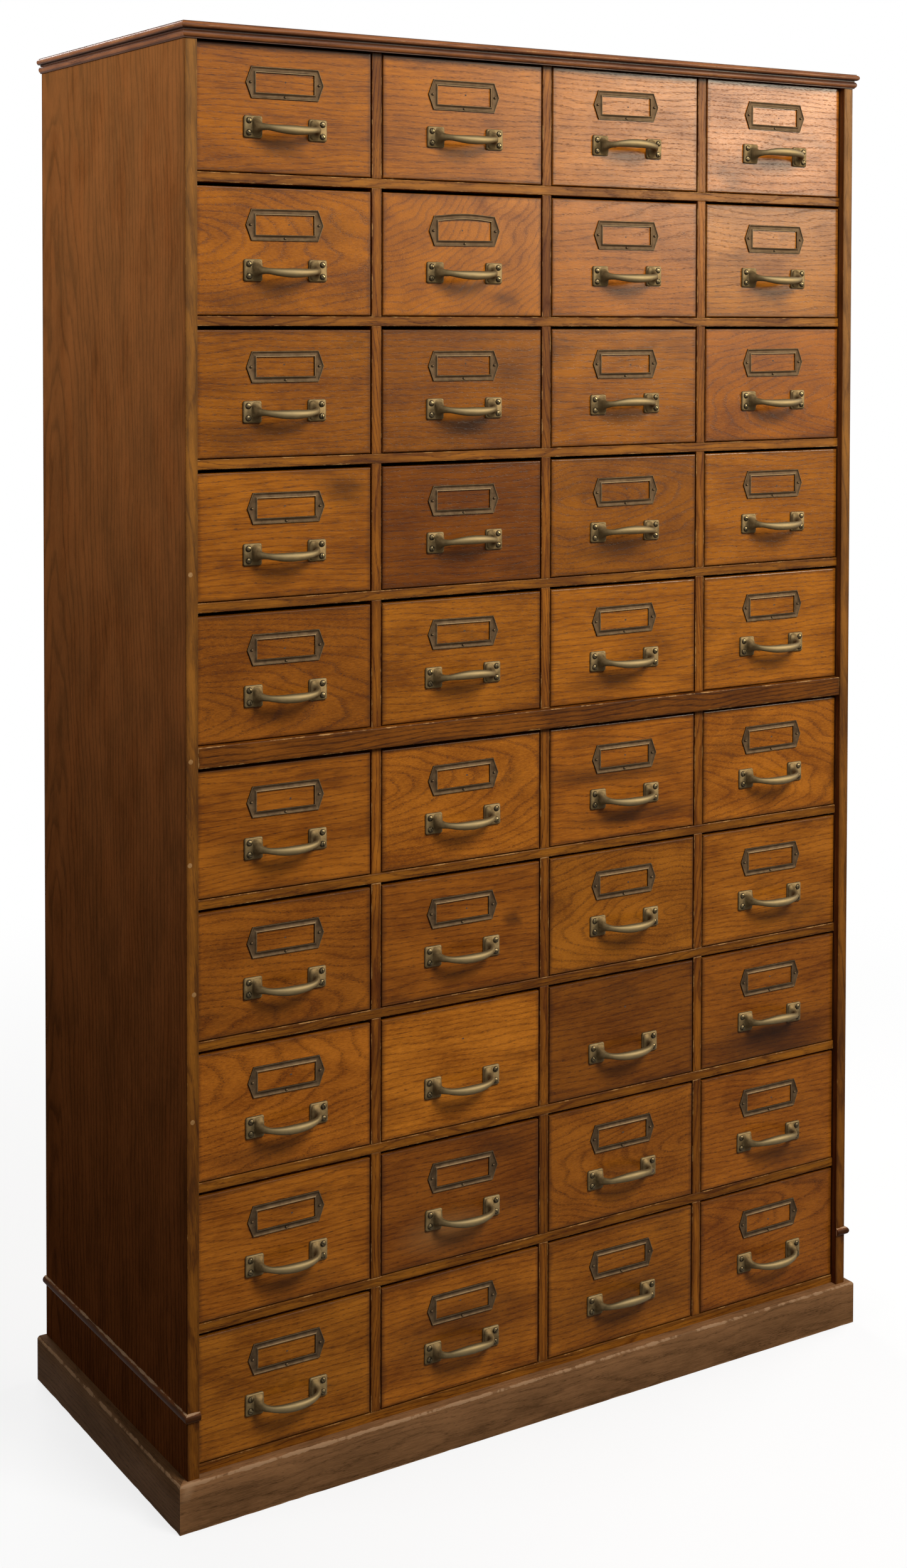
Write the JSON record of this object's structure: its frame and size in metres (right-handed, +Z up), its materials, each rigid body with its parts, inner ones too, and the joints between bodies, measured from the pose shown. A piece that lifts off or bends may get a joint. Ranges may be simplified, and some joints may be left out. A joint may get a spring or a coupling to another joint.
{
  "type": "multi-drawer cabinet",
  "caption": "Tall wooden cabinet of small drawers in rows and columns, each with a bowed cast pull and a framed label holder.",
  "frame": {"origin": "floor under the cabinet: middle of the plinth's width, halfway between the front of the pulls and the back", "axes": "+Z up, -Y out of the drawer fronts, +X to the right seen from the front"},
  "size_m": [1.076, 0.4796, 1.8145],
  "materials": {
    "drawer_wood": "worn satin varnish over orange-brown straight grain",
    "front_wood": "worn satin varnish, rubbed pale on the edges",
    "side_wood": "dark red-brown stain, dull and worn",
    "plinth_wood": "scuffed grey-brown, worn pale on the edges",
    "inner_wood": "bare planed wood",
    "brass": "dark aged brass, rubbed bright on the high spots"
  },
  "bodies": {
    "carcass": {"left_side": "side_wood", "right_side": "side_wood", "top_board": "side_wood", "bottom_board": "inner_wood", "bottom_rail": "front_wood", "mid_rail": "front_wood", "front_rails": "front_wood", "rear_rails": "inner_wood", "front_dividers": "front_wood", "drawer_guides": "inner_wood", "drawer_runners": "inner_wood", "back_boards": "inner_wood", "cornice_left": "side_wood", "cornice_right": "side_wood", "cornice_front": "side_wood", "plinth_front": "plinth_wood", "plinth_left": "plinth_wood", "plinth_right": "plinth_wood", "left_bead": "side_wood", "right_bead": "side_wood"},
    "drawer_r01_c1": {"drawer_r01_c1": "drawer_wood"},
    "drawer_r01_c2": {"drawer_r01_c2": "drawer_wood"},
    "drawer_r01_c3": {"drawer_r01_c3": "drawer_wood"},
    "drawer_r01_c4": {"drawer_r01_c4": "drawer_wood"},
    "drawer_r02_c1": {"drawer_r02_c1": "drawer_wood"},
    "drawer_r02_c2": {"drawer_r02_c2": "drawer_wood"},
    "drawer_r02_c3": {"drawer_r02_c3": "drawer_wood"},
    "drawer_r02_c4": {"drawer_r02_c4": "drawer_wood"},
    "drawer_r03_c1": {"drawer_r03_c1": "drawer_wood"},
    "drawer_r03_c2": {"drawer_r03_c2": "drawer_wood"},
    "drawer_r03_c3": {"drawer_r03_c3": "drawer_wood"},
    "drawer_r03_c4": {"drawer_r03_c4": "drawer_wood"},
    "drawer_r04_c1": {"drawer_r04_c1": "drawer_wood"},
    "drawer_r04_c2": {"drawer_r04_c2": "drawer_wood"},
    "drawer_r04_c3": {"drawer_r04_c3": "drawer_wood"},
    "drawer_r04_c4": {"drawer_r04_c4": "drawer_wood"},
    "drawer_r05_c1": {"drawer_r05_c1": "drawer_wood"},
    "drawer_r05_c2": {"drawer_r05_c2": "drawer_wood"},
    "drawer_r05_c3": {"drawer_r05_c3": "drawer_wood"},
    "drawer_r05_c4": {"drawer_r05_c4": "drawer_wood"},
    "drawer_r06_c1": {"drawer_r06_c1": "drawer_wood"},
    "drawer_r06_c2": {"drawer_r06_c2": "drawer_wood"},
    "drawer_r06_c3": {"drawer_r06_c3": "drawer_wood"},
    "drawer_r06_c4": {"drawer_r06_c4": "drawer_wood"},
    "drawer_r07_c1": {"drawer_r07_c1": "drawer_wood"},
    "drawer_r07_c2": {"drawer_r07_c2": "drawer_wood"},
    "drawer_r07_c3": {"drawer_r07_c3": "drawer_wood"},
    "drawer_r07_c4": {"drawer_r07_c4": "drawer_wood"},
    "drawer_r08_c1": {"drawer_r08_c1": "drawer_wood"},
    "drawer_r08_c2": {"drawer_r08_c2": "drawer_wood"},
    "drawer_r08_c3": {"drawer_r08_c3": "drawer_wood"},
    "drawer_r08_c4": {"drawer_r08_c4": "drawer_wood"},
    "drawer_r09_c1": {"drawer_r09_c1": "drawer_wood"},
    "drawer_r09_c2": {"drawer_r09_c2": "drawer_wood"},
    "drawer_r09_c3": {"drawer_r09_c3": "drawer_wood"},
    "drawer_r09_c4": {"drawer_r09_c4": "drawer_wood"},
    "drawer_r10_c1": {"drawer_r10_c1": "drawer_wood"},
    "drawer_r10_c2": {"drawer_r10_c2": "drawer_wood"},
    "drawer_r10_c3": {"drawer_r10_c3": "drawer_wood"},
    "drawer_r10_c4": {"drawer_r10_c4": "drawer_wood"}
  },
  "joints": [
    {"name": "slide_r01_c1", "type": "slide", "parent": "carcass", "child": "drawer_r01_c1", "axis": [0, -1, 0], "range_m": [0, 0.32]},
    {"name": "slide_r01_c2", "type": "slide", "parent": "carcass", "child": "drawer_r01_c2", "axis": [0, -1, 0], "range_m": [0, 0.32]},
    {"name": "slide_r01_c3", "type": "slide", "parent": "carcass", "child": "drawer_r01_c3", "axis": [0, -1, 0], "range_m": [0, 0.32]},
    {"name": "slide_r01_c4", "type": "slide", "parent": "carcass", "child": "drawer_r01_c4", "axis": [0, -1, 0], "range_m": [0, 0.32]},
    {"name": "slide_r02_c1", "type": "slide", "parent": "carcass", "child": "drawer_r02_c1", "axis": [0, -1, 0], "range_m": [0, 0.32]},
    {"name": "slide_r02_c2", "type": "slide", "parent": "carcass", "child": "drawer_r02_c2", "axis": [0, -1, 0], "range_m": [0, 0.32]},
    {"name": "slide_r02_c3", "type": "slide", "parent": "carcass", "child": "drawer_r02_c3", "axis": [0, -1, 0], "range_m": [0, 0.32]},
    {"name": "slide_r02_c4", "type": "slide", "parent": "carcass", "child": "drawer_r02_c4", "axis": [0, -1, 0], "range_m": [0, 0.32]},
    {"name": "slide_r03_c1", "type": "slide", "parent": "carcass", "child": "drawer_r03_c1", "axis": [0, -1, 0], "range_m": [0, 0.32]},
    {"name": "slide_r03_c2", "type": "slide", "parent": "carcass", "child": "drawer_r03_c2", "axis": [0, -1, 0], "range_m": [0, 0.32]},
    {"name": "slide_r03_c3", "type": "slide", "parent": "carcass", "child": "drawer_r03_c3", "axis": [0, -1, 0], "range_m": [0, 0.32]},
    {"name": "slide_r03_c4", "type": "slide", "parent": "carcass", "child": "drawer_r03_c4", "axis": [0, -1, 0], "range_m": [0, 0.32]},
    {"name": "slide_r04_c1", "type": "slide", "parent": "carcass", "child": "drawer_r04_c1", "axis": [0, -1, 0], "range_m": [0, 0.32]},
    {"name": "slide_r04_c2", "type": "slide", "parent": "carcass", "child": "drawer_r04_c2", "axis": [0, -1, 0], "range_m": [0, 0.32]},
    {"name": "slide_r04_c3", "type": "slide", "parent": "carcass", "child": "drawer_r04_c3", "axis": [0, -1, 0], "range_m": [0, 0.32]},
    {"name": "slide_r04_c4", "type": "slide", "parent": "carcass", "child": "drawer_r04_c4", "axis": [0, -1, 0], "range_m": [0, 0.32]},
    {"name": "slide_r05_c1", "type": "slide", "parent": "carcass", "child": "drawer_r05_c1", "axis": [0, -1, 0], "range_m": [0, 0.32]},
    {"name": "slide_r05_c2", "type": "slide", "parent": "carcass", "child": "drawer_r05_c2", "axis": [0, -1, 0], "range_m": [0, 0.32]},
    {"name": "slide_r05_c3", "type": "slide", "parent": "carcass", "child": "drawer_r05_c3", "axis": [0, -1, 0], "range_m": [0, 0.32]},
    {"name": "slide_r05_c4", "type": "slide", "parent": "carcass", "child": "drawer_r05_c4", "axis": [0, -1, 0], "range_m": [0, 0.32]},
    {"name": "slide_r06_c1", "type": "slide", "parent": "carcass", "child": "drawer_r06_c1", "axis": [0, -1, 0], "range_m": [0, 0.32]},
    {"name": "slide_r06_c2", "type": "slide", "parent": "carcass", "child": "drawer_r06_c2", "axis": [0, -1, 0], "range_m": [0, 0.32]},
    {"name": "slide_r06_c3", "type": "slide", "parent": "carcass", "child": "drawer_r06_c3", "axis": [0, -1, 0], "range_m": [0, 0.32]},
    {"name": "slide_r06_c4", "type": "slide", "parent": "carcass", "child": "drawer_r06_c4", "axis": [0, -1, 0], "range_m": [0, 0.32]},
    {"name": "slide_r07_c1", "type": "slide", "parent": "carcass", "child": "drawer_r07_c1", "axis": [0, -1, 0], "range_m": [0, 0.32]},
    {"name": "slide_r07_c2", "type": "slide", "parent": "carcass", "child": "drawer_r07_c2", "axis": [0, -1, 0], "range_m": [0, 0.32]},
    {"name": "slide_r07_c3", "type": "slide", "parent": "carcass", "child": "drawer_r07_c3", "axis": [0, -1, 0], "range_m": [0, 0.32]},
    {"name": "slide_r07_c4", "type": "slide", "parent": "carcass", "child": "drawer_r07_c4", "axis": [0, -1, 0], "range_m": [0, 0.32]},
    {"name": "slide_r08_c1", "type": "slide", "parent": "carcass", "child": "drawer_r08_c1", "axis": [0, -1, 0], "range_m": [0, 0.32]},
    {"name": "slide_r08_c2", "type": "slide", "parent": "carcass", "child": "drawer_r08_c2", "axis": [0, -1, 0], "range_m": [0, 0.32]},
    {"name": "slide_r08_c3", "type": "slide", "parent": "carcass", "child": "drawer_r08_c3", "axis": [0, -1, 0], "range_m": [0, 0.32]},
    {"name": "slide_r08_c4", "type": "slide", "parent": "carcass", "child": "drawer_r08_c4", "axis": [0, -1, 0], "range_m": [0, 0.32]},
    {"name": "slide_r09_c1", "type": "slide", "parent": "carcass", "child": "drawer_r09_c1", "axis": [0, -1, 0], "range_m": [0, 0.32]},
    {"name": "slide_r09_c2", "type": "slide", "parent": "carcass", "child": "drawer_r09_c2", "axis": [0, -1, 0], "range_m": [0, 0.32]},
    {"name": "slide_r09_c3", "type": "slide", "parent": "carcass", "child": "drawer_r09_c3", "axis": [0, -1, 0], "range_m": [0, 0.32]},
    {"name": "slide_r09_c4", "type": "slide", "parent": "carcass", "child": "drawer_r09_c4", "axis": [0, -1, 0], "range_m": [0, 0.32]},
    {"name": "slide_r10_c1", "type": "slide", "parent": "carcass", "child": "drawer_r10_c1", "axis": [0, -1, 0], "range_m": [0, 0.32]},
    {"name": "slide_r10_c2", "type": "slide", "parent": "carcass", "child": "drawer_r10_c2", "axis": [0, -1, 0], "range_m": [0, 0.32]},
    {"name": "slide_r10_c3", "type": "slide", "parent": "carcass", "child": "drawer_r10_c3", "axis": [0, -1, 0], "range_m": [0, 0.32]},
    {"name": "slide_r10_c4", "type": "slide", "parent": "carcass", "child": "drawer_r10_c4", "axis": [0, -1, 0], "range_m": [0, 0.32]}
  ]
}
